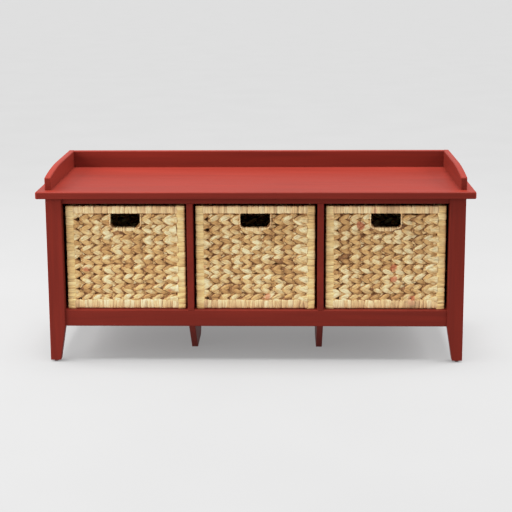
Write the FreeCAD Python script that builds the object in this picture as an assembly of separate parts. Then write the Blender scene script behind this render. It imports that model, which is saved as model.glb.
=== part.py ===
# Entry bench with three pull-out baskets, in millimetres.
# The origin is on the floor under the seat's centre: X runs along the bench to the right,
# Y runs from the front to the back, and Z is up.
import FreeCAD
import Part
import math
import os

os.makedirs("parts", exist_ok=True)

V = FreeCAD.Vector
LEFT = -1
RIGHT = 1
FRONT = -1
BACK = 1
X_AXIS = V(1, 0, 0)
Y_AXIS = V(0, 1, 0)
Z_AXIS = V(0, 0, 1)

# Seat board
seat_length = 1092.0
seat_depth = 404.0
seat_height = 441.0
seat_thickness = 18.0
seat_corner_radius = 6.0
seat_top_radius = 4.0
seat_under_chamfer = 1.5

# Low gallery that stands on the seat at the back and both ends
gallery_thickness = 16.0
gallery_end_inset = 20.0
gallery_front_inset = 27.5
gallery_back_inset = 3.0
gallery_front_height = 32.0
gallery_back_height = 45.5
gallery_curve_run = 175.0
gallery_nose_radius = 5.0
gallery_edge_radius = 3.0

# Legs, tapered on their inner side below the rails
leg_width = 40.0
leg_depth = 24.0
leg_foot_width = 26.0
leg_end_inset = 23.5
leg_front_inset = 11.0
leg_back_inset = 4.0
leg_edge_radius = 2.0

# Glides nailed under the legs
glide_height = 5.0
glide_radius = 8.0
glide_flat_radius = 5.0
glide_pin_radius = 1.6
glide_pin_length = 12.0

# Rails between the legs
rail_thickness = 16.0
bottom_rail_height = 42.0
bottom_rail_lift = 92.0
top_rail_height = 15.0
top_rail_depth = 30.0
rail_edge_radius = 2.0

# Boards inside the frame
side_panel_thickness = 16.0
side_panel_inset = 3.0
side_panel_chamfer = 1.5
shelf_thickness = 16.0
divider_thickness = 16.0
divider_edge_radius = 1.5
back_panel_thickness = 5.0
back_panel_inset = 3.0

# Support boards under the shelf, one below each divider
centre_foot_thickness = 16.0
centre_foot_floor_length = 118.0
centre_foot_front_inset = 4.0
centre_foot_back_inset = 11.0
centre_foot_shoulder = 24.0
centre_foot_chamfer = 1.5

# Wooden dowels
dowel_radius = 4.0
dowel_length = 30.0
dowel_board_depth = 10.0
dowel_shelf_wall = 2.0
dowel_clearance = 0.1
dowel_end_clearance = 0.5

# Countersunk screws up through the seat into the gallery
gallery_screw_radius = 2.0
gallery_screw_head_radius = 4.0
gallery_screw_length = 40.0
gallery_screw_end_inset = 50.0
gallery_back_screws = 4
gallery_side_screws = 2

# Countersunk screws up through the top rails into the seat
seat_screw_radius = 2.0
seat_screw_head_radius = 4.0
seat_screw_length = 26.0
seat_screw_end_inset = 90.0
seat_screws_per_rail = 3

# Small pan-head screws that hold the back panel
panel_screw_radius = 1.5
panel_screw_length = 14.0
panel_screw_head_radius = 3.2
panel_screw_head_height = 1.6
panel_screw_end_inset = 28.0
panel_screw_divider_inset = 56.0
panel_screws_per_rail = 4
panel_screws_per_divider = 2
screw_clearance = 0.1
screw_end_clearance = 0.5

# Baskets
running_gap = 0.3
basket_side_clearance = 5.0
basket_head_clearance = 8.7
basket_front_setback = 14.0
basket_back_clearance = 10.0
basket_wrap_thickness = 16.0
basket_top_rim_height = 20.0
basket_bottom_rim_height = 23.5
basket_post_width = 22.0
basket_wrap_radius = 5.0
basket_weave_thickness = 12.0
basket_weave_setback = 2.0
basket_base_thickness = 10.0
basket_base_lift = 4.0
basket_wire_radius = 2.0
basket_upright_radius = 2.5
basket_wire_clearance = 0.2

# Hand hole under the front rim of each basket
handle_width = 74.0
handle_height = 35.0
handle_corner_radius = 9.0
handle_binding = 4.0
handle_binding_setback = 1.0

# One overrun for every cut, and how near two places are when they are the same
overrun = 5.0
same_place = 0.005

# Sides of small straight-sided pieces: inside the wood, inside the wraps, and in sight
HIDDEN_SIDES = 6
WIRE_SIDES = 4
SCREW_HEAD_SIDES = 8
GLIDE_SIDES = 12

# Shares of a pan head: the width of its crown, and the height where its edge begins
PAN_CROWN_SHARE = 0.6
PAN_EDGE_SHARE = 0.5

# Shares of a length along which fastenings stand
SHELF_DOWEL_SHARES = (0.2, 0.8)
DIVIDER_DOWEL_SHARES = (0.15, 0.85)
FOOT_DOWEL_SHARES = (0.2, 0.8)
SIDE_DOWEL_SHARES = (0.12, 0.88)
RAIL_DOWEL_SHARES = (0.25, 0.75)

# Heights
seat_underside = seat_height - seat_thickness
bottom_rail_top = bottom_rail_lift + bottom_rail_height
top_rail_underside = seat_underside - top_rail_height
shelf_top = bottom_rail_top
shelf_underside = shelf_top - shelf_thickness
shelf_dowel_depth = (shelf_thickness - dowel_shelf_wall) / 2

# Places along the depth, from the front to the back
seat_front = -seat_depth / 2
seat_back = seat_depth / 2
leg_front = seat_front + leg_front_inset
leg_back = seat_back - leg_back_inset
front_rail_back = leg_front + leg_depth
front_rail_front = front_rail_back - rail_thickness
back_rail_front = leg_back - leg_depth
back_rail_back = back_rail_front + rail_thickness
back_panel_back = leg_back - back_panel_inset
back_panel_front = back_panel_back - back_panel_thickness
gallery_front = seat_front + gallery_front_inset
gallery_back = seat_back - gallery_back_inset
centre_foot_front = front_rail_back + centre_foot_front_inset
centre_foot_back = back_rail_front - centre_foot_back_inset

# Places along the length, from the middle to the ends
leg_outer = seat_length / 2 - leg_end_inset
leg_inner = leg_outer - leg_width
side_panel_outer = leg_outer - side_panel_inset
side_panel_inner = side_panel_outer - side_panel_thickness
gallery_outer = seat_length / 2 - gallery_end_inset
gallery_inner = gallery_outer - gallery_thickness
basket_count = 3
bay_width = (leg_inner * 2 - divider_thickness * (basket_count - 1)) / basket_count
bay_pitch = bay_width + divider_thickness

# Basket sizes, from the bay that it stands in
basket_width = bay_width - basket_side_clearance * 2
basket_bottom = shelf_top + running_gap
basket_top = top_rail_underside - basket_head_clearance
basket_weave_bottom = basket_bottom + basket_bottom_rim_height
basket_weave_top = basket_top - basket_top_rim_height
basket_front = front_rail_front + basket_front_setback
basket_back = back_panel_front - basket_back_clearance


def box(x0, x1, y0, y1, z0, z1):
    """A block between two corners."""
    return Part.makeBox(x1 - x0, y1 - y0, z1 - z0, V(x0, y0, z0))


def on_side(shape, side):
    """A piece drawn at the right end, mirrored if it is for the left end."""
    return shape if side == RIGHT else shape.mirror(V(0, 0, 0), X_AXIS)


def span(low, high, count):
    """Evenly spaced places from low to high."""
    step = (high - low) / (count - 1)
    return [low + step * i for i in range(count)]


def shares_of(low, high, share_list):
    """Places at the given shares of the way from low to high."""
    return [low + (high - low) * share for share in share_list]


def edges_that(shape, test):
    """The edges for which the test of both end points holds."""
    return [e for e in shape.Edges if len(e.Vertexes) == 2
            and all(test(v.Point) for v in e.Vertexes)]


def near(a, b):
    """Whether two places are the same."""
    return abs(a - b) < same_place


def along(edge, axis):
    """Whether a straight edge runs along an axis."""
    run = edge.Vertexes[-1].Point - edge.Vertexes[0].Point
    return near(run.cross(axis).Length, 0)


def extruded(points, depth_vector):
    """A flat outline pushed out into a solid."""
    outline = Part.makePolygon(points + points[:1])
    return Part.Face(outline).extrude(depth_vector)


def ring(radius, height, sides):
    """A level outline with straight sides, the corners on a circle."""
    turns = [math.pi * (i * 2 + 1) / sides for i in range(sides)]
    corners = [V(radius * math.cos(t), radius * math.sin(t), height) for t in turns]
    return Part.makePolygon(corners + corners[:1])


def placed(solid, base, axis):
    """A piece drawn along Z from the origin, stood at its base along the axis."""
    solid.Placement = FreeCAD.Placement(base, FreeCAD.Rotation(Z_AXIS, axis))
    return solid


def rod(radius, length, base, axis, sides=HIDDEN_SIDES):
    """A thin hidden pin, wire or bore, drawn with few sides."""
    solid = Part.Face(ring(radius, 0, sides)).extrude(Z_AXIS * length)
    return placed(solid, base, axis)


def stepped(points, base, axis, sides):
    """A stack of straight-sided collars through the (radius, height) corners."""
    collars = [Part.makeLoft([ring(r0, h0, sides), ring(r1, h1, sides)], True, True)
               for (r0, h0), (r1, h1) in zip(points, points[1:]) if h0 != h1]
    solid = collars[0].fuse(collars[1:]) if len(collars) > 1 else collars[0]
    return placed(solid, base, axis)


def dowel(place, axis, slack=0.0, end_slack=0.0):
    """A dowel whose tail starts at the place, or its bore when slack is given."""
    return rod(dowel_radius + slack, dowel_length + end_slack * 2, place - axis * end_slack, axis)


def dowels(places):
    """The dowels of one joint, as separate solids."""
    return [dowel(place, axis) for place, axis in places]


def drilled_for(shape, places):
    """A piece with the bores of the dowels that enter it."""
    bores = [dowel(p, a, dowel_clearance, dowel_end_clearance) for p, a in places]
    return bored(shape, bores)


def bored(shape, cutters):
    """A piece less the cutters that reach it."""
    reaching = [c for c in cutters if shape.BoundBox.intersect(c.BoundBox)]
    return shape.cut(reaching) if reaching else shape


def countersunk_screw(place, radius, head_radius, length, slack=0.0, end_slack=0.0):
    """A screw that points up from its flat head, or its hole when slack is given."""
    head_height = head_radius - radius
    outline = [(head_radius + slack, -slack), (head_radius + slack, 0),
               (radius + slack, head_height), (radius + slack, length + end_slack)]
    return stepped(outline, place, Z_AXIS, HIDDEN_SIDES)


def rail_dowel_places():
    """Two dowels in each bottom rail's end and one in each top rail's end."""
    places = []
    half = dowel_length / 2
    for rail_y in ((front_rail_front + front_rail_back) / 2, (back_rail_front + back_rail_back) / 2):
        heights = shares_of(bottom_rail_lift, bottom_rail_top, RAIL_DOWEL_SHARES)
        heights.append(seat_underside - top_rail_height / 2)
        for z in heights:
            for side in (LEFT, RIGHT):
                places.append((V(side * leg_inner - half, rail_y, z), X_AXIS))
    return places


def side_panel_dowel_places():
    """Dowels from the side panels' edges into the legs."""
    places = []
    half = dowel_length / 2
    middle = (side_panel_inner + side_panel_outer) / 2
    for side in (LEFT, RIGHT):
        for joint_y in (front_rail_back, back_rail_front):
            for z in shares_of(bottom_rail_lift, seat_underside, SIDE_DOWEL_SHARES):
                places.append((V(side * middle, joint_y - half, z), Y_AXIS))
    return places


def shelf_dowel_places():
    """Dowels from the shelf's ends into the side panels."""
    places = []
    z = (shelf_top + shelf_underside) / 2
    for side in (LEFT, RIGHT):
        tip = side * (side_panel_inner + dowel_board_depth)
        start = tip if side == LEFT else tip - dowel_length
        for y in shares_of(front_rail_back, back_rail_front, SHELF_DOWEL_SHARES):
            places.append((V(start, y, z), X_AXIS))
    return places


def divider_dowel_places():
    """Dowels from the shelf up into the dividers."""
    places = []
    for x in divider_places():
        for y in shares_of(front_rail_back, back_rail_front, DIVIDER_DOWEL_SHARES):
            places.append((V(x, y, shelf_top - shelf_dowel_depth), Z_AXIS))
    return places


def foot_dowel_places():
    """Dowels from the centre feet up into the shelf."""
    places = []
    for x in divider_places():
        for y in shares_of(centre_foot_front, centre_foot_back, FOOT_DOWEL_SHARES):
            places.append((V(x, y, shelf_underside + shelf_dowel_depth - dowel_length), Z_AXIS))
    return places


def divider_places():
    """The middle of each divider along the bench."""
    return [-bay_pitch / 2, bay_pitch / 2]


def gallery_screw_places():
    """Screws up through the seat, along the back board and both end boards."""
    back_y = gallery_back - gallery_thickness / 2
    reach = gallery_inner - gallery_screw_end_inset
    places = [V(x, back_y, seat_underside) for x in span(-reach, reach, gallery_back_screws)]
    side_x = (gallery_outer + gallery_inner) / 2
    low = gallery_front + gallery_screw_end_inset
    high = back_y - gallery_screw_end_inset
    for side in (LEFT, RIGHT):
        places += [V(side * side_x, y, seat_underside)
                   for y in span(low, high, gallery_side_screws)]
    return places


def seat_screw_places():
    """Screws up through both top rails into the seat."""
    reach = leg_inner - seat_screw_end_inset
    rows = (front_rail_front + top_rail_depth / 2, back_rail_back - top_rail_depth / 2)
    return [V(x, y, top_rail_underside) for y in rows
            for x in span(-reach, reach, seat_screws_per_rail)]


def panel_screw_places():
    """Screws through the back panel into the back rails and the dividers."""
    reach = leg_inner - panel_screw_end_inset
    rows = (bottom_rail_lift + bottom_rail_height / 2, seat_underside - top_rail_height / 2)
    places = [V(x, back_panel_back, z) for z in rows
              for x in span(-reach, reach, panel_screws_per_rail)]
    low = shelf_top + panel_screw_divider_inset
    high = top_rail_underside - panel_screw_divider_inset
    for x in divider_places():
        places += [V(x, back_panel_back, z) for z in span(low, high, panel_screws_per_divider)]
    return places


def gallery_screws(slack=0.0, end_slack=0.0):
    """The screws that hold the gallery, or their holes when slack is given."""
    return [countersunk_screw(p, gallery_screw_radius, gallery_screw_head_radius,
                              gallery_screw_length, slack, end_slack)
            for p in gallery_screw_places()]


def seat_screws(slack=0.0, end_slack=0.0):
    """The screws that hold the seat, or their holes when slack is given."""
    return [countersunk_screw(p, seat_screw_radius, seat_screw_head_radius,
                              seat_screw_length, slack, end_slack)
            for p in seat_screw_places()]


def panel_screw(place):
    """A pan-head screw that lies on the back panel and points to the front."""
    crown = place + Y_AXIS * panel_screw_head_height
    head = stepped([(panel_screw_head_radius * PAN_CROWN_SHARE, 0),
                    (panel_screw_head_radius, panel_screw_head_height * PAN_EDGE_SHARE),
                    (panel_screw_head_radius, panel_screw_head_height)],
                   crown, -Y_AXIS, SCREW_HEAD_SIDES)
    return head.fuse(rod(panel_screw_radius, panel_screw_length, place, -Y_AXIS))


def panel_screw_holes():
    """The holes of the pan-head screws."""
    return [rod(panel_screw_radius + screw_clearance,
                panel_screw_length + screw_end_clearance + overrun,
                p + Y_AXIS * overrun, -Y_AXIS)
            for p in panel_screw_places()]


def seat_board():
    """The seat: a flat board with rounded corners and edges."""
    half = seat_length / 2
    board = box(-half, half, seat_front, seat_back, seat_underside, seat_height)
    corners = [e for e in board.Edges if along(e, Z_AXIS)]
    board = board.makeFillet(seat_corner_radius, corners)
    board = board.makeFillet(seat_top_radius, edges_that(board, lambda p: near(p.z, seat_height)))
    under = edges_that(board, lambda p: near(p.z, seat_underside))
    board = board.makeChamfer(seat_under_chamfer, under)
    holes = gallery_screws(screw_clearance, screw_end_clearance)
    return bored(board, holes + seat_screws(screw_clearance, screw_end_clearance))


def gallery_back_board():
    """The board that closes the gallery at the back."""
    top = seat_height + gallery_back_height
    board = box(-gallery_inner, gallery_inner, gallery_back - gallery_thickness, gallery_back,
                seat_height, top)
    long_edges = [e for e in edges_that(board, lambda p: near(p.z, top)) if along(e, X_AXIS)]
    board = board.makeFillet(gallery_edge_radius, long_edges)
    return bored(board, gallery_screws(screw_clearance, screw_end_clearance))


def gallery_end_board():
    """The right end board: level at the back, then a long arc down to a rounded nose."""
    drop = gallery_back_height - gallery_front_height
    arc_radius = (gallery_curve_run ** 2 + drop ** 2) / (drop * 2)
    nose = V(gallery_inner, gallery_front, seat_height + gallery_front_height)
    crest = V(gallery_inner, gallery_front + gallery_curve_run, seat_height + gallery_back_height)
    half_turn = math.asin(gallery_curve_run / arc_radius) / 2
    middle = V(gallery_inner, crest.y - arc_radius * math.sin(half_turn),
               crest.z - arc_radius * (1 - math.cos(half_turn)))
    heel = V(gallery_inner, gallery_back, crest.z)
    heel_foot = V(gallery_inner, gallery_back, seat_height)
    toe = V(gallery_inner, gallery_front, seat_height)
    outline = Part.Wire([
        Part.makeLine(toe, nose),
        Part.Arc(nose, middle, crest).toShape(),
        Part.makeLine(crest, heel),
        Part.makeLine(heel, heel_foot),
        Part.makeLine(heel_foot, toe),
    ])
    board = Part.Face(outline).extrude(X_AXIS * gallery_thickness)
    nose_edges = edges_that(board, lambda p: near(p.y, gallery_front) and near(p.z, nose.z))
    board = board.makeFillet(gallery_nose_radius, nose_edges)
    rounded = [e for e in board.Edges if not along(e, X_AXIS)
               and e.CenterOfMass.z > seat_height + overrun
               and e.BoundBox.XLength < overrun
               and not near(e.CenterOfMass.y, gallery_back)]
    board = board.makeFillet(gallery_edge_radius, rounded)
    return board


def gallery_end(side):
    """One end board with its screw holes."""
    board = on_side(gallery_end_board(), side)
    return bored(board, gallery_screws(screw_clearance, screw_end_clearance))


def leg(side, end):
    """A leg: straight on the outside, tapered on the inside below the rails."""
    y0 = leg_front if end == FRONT else leg_back - leg_depth
    points = [(leg_outer, glide_height), (leg_outer, seat_underside),
              (leg_inner, seat_underside), (leg_inner, bottom_rail_lift),
              (leg_outer - leg_foot_width, glide_height)]
    post = extruded([V(x, y0, z) for x, z in points], Y_AXIS * leg_depth)
    rounded = [e for e in post.Edges if not along(e, Y_AXIS)
               and not along(e, X_AXIS)]
    post = on_side(post.makeFillet(leg_edge_radius, rounded), side)
    post = drilled_for(post, rail_dowel_places() + side_panel_dowel_places())
    return bored(post, [glide_pin_hole(x, y) for x, y in glide_places()])


def glide_places():
    """The middle of each leg's foot."""
    x = leg_outer - leg_foot_width / 2
    rows = (leg_front + leg_depth / 2, leg_back - leg_depth / 2)
    return [(side * x, y) for y in rows for side in (LEFT, RIGHT)]


def glide(x, y):
    """A nail glide: a flat-bottomed cone with a pin."""
    cone = stepped([(glide_flat_radius, 0), (glide_radius, glide_height)],
                   V(x, y, 0), Z_AXIS, GLIDE_SIDES)
    return cone.fuse(rod(glide_pin_radius, glide_pin_length, V(x, y, glide_height), Z_AXIS))


def glide_pin_hole(x, y):
    """The hole in a leg's foot for its glide's pin."""
    radius = glide_pin_radius + screw_clearance
    depth = glide_pin_length + screw_end_clearance + overrun
    return rod(radius, depth, V(x, y, glide_height - overrun), Z_AXIS)


def bottom_rail(end):
    """The tall rail under the shelf's edge, flush with the shelf's top."""
    y0, y1 = front_rail_front, front_rail_back
    if end == BACK:
        y0, y1 = back_rail_front, back_rail_back
    rail = box(-leg_inner, leg_inner, y0, y1, bottom_rail_lift, bottom_rail_top)
    if end == FRONT:
        shown = [e for e in edges_that(rail, lambda p: near(p.y, front_rail_front))
                 if along(e, X_AXIS)]
        rail = rail.makeFillet(rail_edge_radius, shown)
    rail = drilled_for(rail, rail_dowel_places())
    return bored(rail, panel_screw_holes())


def top_rail(end):
    """The flat rail under the seat."""
    y0, y1 = front_rail_front, front_rail_front + top_rail_depth
    if end == BACK:
        y0, y1 = back_rail_back - top_rail_depth, back_rail_back
    rail = box(-leg_inner, leg_inner, y0, y1, top_rail_underside, seat_underside)
    if end == FRONT:
        lower = edges_that(rail, lambda p: near(p.y, front_rail_front)
                           and near(p.z, top_rail_underside))
        rail = rail.makeFillet(rail_edge_radius, lower)
    rail = drilled_for(rail, rail_dowel_places())
    holes = seat_screws(screw_clearance, screw_end_clearance)
    return bored(rail, holes + panel_screw_holes())


def side_panel(side):
    """The end board between a front leg and a back leg."""
    panel = box(side_panel_inner, side_panel_outer, front_rail_back, back_rail_front,
                bottom_rail_lift, seat_underside)
    lower = [e for e in edges_that(panel, lambda p: near(p.z, bottom_rail_lift))
             if along(e, Y_AXIS)]
    panel = on_side(panel.makeChamfer(side_panel_chamfer, lower), side)
    return drilled_for(panel, side_panel_dowel_places() + shelf_dowel_places())


def shelf():
    """The board that the baskets stand on."""
    board = box(-side_panel_inner, side_panel_inner, front_rail_back, back_rail_front,
                shelf_underside, shelf_top)
    return drilled_for(board, shelf_dowel_places() + divider_dowel_places() + foot_dowel_places())


def divider(x):
    """The board between two bays, notched round both top rails."""
    x0 = x - divider_thickness / 2
    front_notch = front_rail_front + top_rail_depth
    back_notch = back_rail_back - top_rail_depth
    points = [(front_rail_front, shelf_top), (front_rail_front, top_rail_underside),
              (front_notch, top_rail_underside), (front_notch, seat_underside),
              (back_notch, seat_underside), (back_notch, top_rail_underside),
              (back_rail_back, top_rail_underside), (back_rail_back, shelf_top)]
    board = extruded([V(x0, y, z) for y, z in points], X_AXIS * divider_thickness)
    shown = [e for e in edges_that(board, lambda p: near(p.y, front_rail_front))
             if along(e, Z_AXIS)]
    board = board.makeFillet(divider_edge_radius, shown)
    board = drilled_for(board, divider_dowel_places())
    return bored(board, panel_screw_holes())


def back_panel():
    """The thin board that closes the back between the legs."""
    panel = box(-leg_inner, leg_inner, back_panel_front, back_panel_back,
                bottom_rail_lift, seat_underside)
    return bored(panel, panel_screw_holes())


def centre_foot(x):
    """A support board: square shoulders under the shelf, then sloping down to the floor."""
    x0 = x - centre_foot_thickness / 2
    middle = (centre_foot_front + centre_foot_back) / 2
    half_floor = centre_foot_floor_length / 2
    shoulder = shelf_underside - centre_foot_shoulder
    points = [(middle - half_floor, 0), (centre_foot_front, shoulder),
              (centre_foot_front, shelf_underside), (centre_foot_back, shelf_underside),
              (centre_foot_back, shoulder), (middle + half_floor, 0)]
    board = extruded([V(x0, y, z) for y, z in points], X_AXIS * centre_foot_thickness)
    slopes = [e for e in board.Edges
              if not any(along(e, axis) for axis in (X_AXIS, Y_AXIS, Z_AXIS))]
    board = board.makeChamfer(centre_foot_chamfer, slopes)
    return drilled_for(board, foot_dowel_places())


def basket_centre(index):
    """The middle of a basket along the bench."""
    return (index - (basket_count - 1) / 2) * bay_pitch


def basket_wires(x, slack=0.0):
    """Four upright wires and two hoops of four wires, each hoop wire ending inside an upright."""
    radius = basket_wire_radius + slack
    upright_radius = basket_upright_radius + slack
    inset = basket_wrap_thickness / 2
    xs = (x - basket_width / 2 + inset, x + basket_width / 2 - inset)
    ys = (basket_front + inset, basket_back - inset)
    zs = (basket_bottom + basket_bottom_rim_height / 2, basket_top - basket_top_rim_height / 2)
    foot = zs[0] - upright_radius
    height = zs[1] - zs[0] + upright_radius * 2
    uprights = [rod(upright_radius, height, V(wx, wy, foot), Z_AXIS, WIRE_SIDES)
                for wx in xs for wy in ys]
    hoops = []
    for z in zs:
        hoops += [rod(radius, xs[1] - xs[0], V(xs[0], wy, z), X_AXIS, WIRE_SIDES) for wy in ys]
        hoops += [rod(radius, ys[1] - ys[0], V(wx, ys[0], z), Y_AXIS, WIRE_SIDES) for wx in xs]
    return uprights + hoops


def basket_wire_frame(x):
    """The welded wire frame inside the wraps."""
    wires = basket_wires(x)
    return wires[0].fuse(wires[1:])


def channelled(piece, x):
    """A wrapped piece with the channels that the basket's wires run in."""
    for wire in basket_wires(x, basket_wire_clearance):
        piece = bored(piece, [wire])
    return piece


def basket_posts(x):
    """The four corner posts, wrapped from bottom to top."""
    posts = []
    x0, x1 = x - basket_width / 2, x + basket_width / 2
    for px in (x0, x1 - basket_post_width):
        for py in (basket_front, basket_back - basket_post_width):
            post = box(px, px + basket_post_width, py, py + basket_post_width,
                       basket_bottom, basket_top)
            corner_x = x0 if near(px, x0) else x1
            corner_y = basket_front if near(py, basket_front) else basket_back
            outer = edges_that(post, lambda p: near(p.x, corner_x) and near(p.y, corner_y))
            post = post.makeFillet(basket_wrap_radius, outer)
            posts.append(channelled(post, x))
    return posts


def basket_rim(x, z0, z1, outer_z):
    """Four wrapped rim bars between the posts, rounded along their outer edge at outer_z."""
    x0, x1 = x - basket_width / 2, x + basket_width / 2
    inner_x0, inner_x1 = x0 + basket_post_width, x1 - basket_post_width
    inner_y0, inner_y1 = basket_front + basket_post_width, basket_back - basket_post_width
    front_bar = box(inner_x0, inner_x1, basket_front, basket_front + basket_wrap_thickness, z0, z1)
    back_bar = box(inner_x0, inner_x1, basket_back - basket_wrap_thickness, basket_back, z0, z1)
    left_bar = box(x0, x0 + basket_wrap_thickness, inner_y0, inner_y1, z0, z1)
    right_bar = box(x1 - basket_wrap_thickness, x1, inner_y0, inner_y1, z0, z1)
    bars = []
    for bar, outer in ((front_bar, lambda p: near(p.y, basket_front)),
                       (back_bar, lambda p: near(p.y, basket_back)),
                       (left_bar, lambda p: near(p.x, x0)),
                       (right_bar, lambda p: near(p.x, x1))):
        rounded = edges_that(bar, lambda p: outer(p) and near(p.z, outer_z))
        bars.append(channelled(bar.makeFillet(basket_wrap_radius, rounded), x))
    return bars


def u_outline(x, half_width, bottom, radius, top):
    """A U-shaped face with rounded lower corners, across the bench."""
    left, right = x - half_width, x + half_width
    mid = radius * math.sqrt(2) / 2
    edges = [
        Part.makeLine(V(left, 0, top), V(left, 0, bottom + radius)),
        Part.Arc(V(left, 0, bottom + radius),
                 V(left + radius - mid, 0, bottom + radius - mid),
                 V(left + radius, 0, bottom)).toShape(),
        Part.makeLine(V(left + radius, 0, bottom), V(right - radius, 0, bottom)),
        Part.Arc(V(right - radius, 0, bottom),
                 V(right - radius + mid, 0, bottom + radius - mid),
                 V(right, 0, bottom + radius)).toShape(),
        Part.makeLine(V(right, 0, bottom + radius), V(right, 0, top)),
        Part.makeLine(V(right, 0, top), V(left, 0, top)),
    ]
    return Part.Face(Part.Wire(edges))


def handle_notch(x, margin, y0, y1, top):
    """The hand hole, grown by a margin, from y0 to y1."""
    bottom = basket_weave_top - handle_height - margin
    face = u_outline(x, handle_width / 2 + margin, bottom, handle_corner_radius + margin, top)
    face.translate(Y_AXIS * y0)
    return face.extrude(Y_AXIS * (y1 - y0))


def handle_binding_piece(x):
    """The bound edge round the sides and the bottom of the hand hole."""
    y0 = basket_front + handle_binding_setback
    y1 = basket_front + basket_wrap_thickness - handle_binding_setback
    outer = handle_notch(x, handle_binding, y0, y1, basket_weave_top)
    inner = handle_notch(x, 0, y0 - overrun, y1 + overrun, basket_weave_top + overrun)
    return outer.cut(inner)


def basket_front_weave(x):
    """The woven front, with the notch that the bound hand hole sits in."""
    y0 = basket_front + basket_weave_setback
    y1 = y0 + basket_weave_thickness
    panel = box(x - basket_width / 2 + basket_post_width, x + basket_width / 2 - basket_post_width,
                y0, y1, basket_weave_bottom, basket_weave_top)
    notch = handle_notch(x, handle_binding, y0 - overrun, y1 + overrun,
                         basket_weave_top + overrun)
    return panel.cut(notch)


def basket_back_weave(x):
    """The woven back."""
    y1 = basket_back - basket_weave_setback
    return box(x - basket_width / 2 + basket_post_width, x + basket_width / 2 - basket_post_width,
               y1 - basket_weave_thickness, y1, basket_weave_bottom, basket_weave_top)


def basket_side_weaves(x):
    """The woven left and right walls."""
    walls = []
    y0, y1 = basket_front + basket_post_width, basket_back - basket_post_width
    z0, z1 = basket_weave_bottom, basket_weave_top
    x0 = x - basket_width / 2 + basket_weave_setback
    x1 = x + basket_width / 2 - basket_weave_setback
    walls.append(box(x0, x0 + basket_weave_thickness, y0, y1, z0, z1))
    walls.append(box(x1 - basket_weave_thickness, x1, y0, y1, z0, z1))
    return walls


def basket_base_weave(x):
    """The woven base between the bottom rim bars, cut round the posts."""
    inset = basket_wrap_thickness
    z0 = basket_bottom + basket_base_lift
    base = box(x - basket_width / 2 + inset, x + basket_width / 2 - inset,
               basket_front + inset, basket_back - inset, z0, z0 + basket_base_thickness)
    for sx in (LEFT, RIGHT):
        for sy in (FRONT, BACK):
            corner_x = x + sx * basket_width / 2
            corner_y = basket_front if sy == FRONT else basket_back
            px = sorted((corner_x, corner_x - sx * basket_post_width))
            py = sorted((corner_y, corner_y - sy * basket_post_width))
            base = base.cut(box(px[0], px[1], py[0], py[1], z0 - overrun,
                                z0 + basket_base_thickness + overrun))
    return base


def write(node, shape):
    """One STEP file for one node."""
    if isinstance(shape, list):
        shape = Part.makeCompound(shape)
    shape.exportStep("parts/" + node + ".step")


def write_bench():
    """The frame, the boards and the gallery."""
    write("seat_top", seat_board())
    write("gallery_back", gallery_back_board())
    for name, side in (("left", LEFT), ("right", RIGHT)):
        write("gallery_end_" + name, gallery_end(side))
        write("front_leg_" + name, leg(side, FRONT))
        write("back_leg_" + name, leg(side, BACK))
        write("side_panel_" + name, side_panel(side))
    for name, end in (("front", FRONT), ("back", BACK)):
        write(name + "_bottom_rail", bottom_rail(end))
        write(name + "_top_rail", top_rail(end))
    write("shelf", shelf())
    write("back_panel", back_panel())
    for name, x in zip(("left", "right"), divider_places()):
        write("divider_" + name, divider(x))
        write("centre_foot_" + name, centre_foot(x))


def write_fastenings():
    """The glides, the dowels and the screws, one node for each kind."""
    write("leg_glides", [glide(x, y) for x, y in glide_places()])
    write("rail_dowels", dowels(rail_dowel_places()))
    write("side_panel_dowels", dowels(side_panel_dowel_places()))
    write("shelf_dowels", dowels(shelf_dowel_places()))
    write("divider_dowels", dowels(divider_dowel_places()))
    write("centre_foot_dowels", dowels(foot_dowel_places()))
    write("gallery_screws", gallery_screws())
    write("seat_screws", seat_screws())
    write("back_panel_screws", [panel_screw(p) for p in panel_screw_places()])


def write_basket(name, index):
    """The pieces of one basket."""
    x = basket_centre(index)
    write(name + "_wire_frame", basket_wire_frame(x))
    write(name + "_corner_posts", basket_posts(x))
    write(name + "_top_rim", basket_rim(x, basket_weave_top, basket_top, basket_top))
    write(name + "_bottom_rim",
          basket_rim(x, basket_bottom, basket_weave_bottom, basket_bottom))
    write(name + "_front_weave", basket_front_weave(x))
    write(name + "_handle_binding", handle_binding_piece(x))
    write(name + "_back_weave", basket_back_weave(x))
    write(name + "_side_weaves", basket_side_weaves(x))
    write(name + "_base_weave", basket_base_weave(x))


write_bench()
write_fastenings()
for index, name in enumerate(("basket_left", "basket_centre", "basket_right")):
    write_basket(name, index)
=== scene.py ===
"""A painted storage bench with three plaited baskets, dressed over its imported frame."""
import math
import random

import bmesh
import bpy
from mathutils import Matrix, Vector


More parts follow.
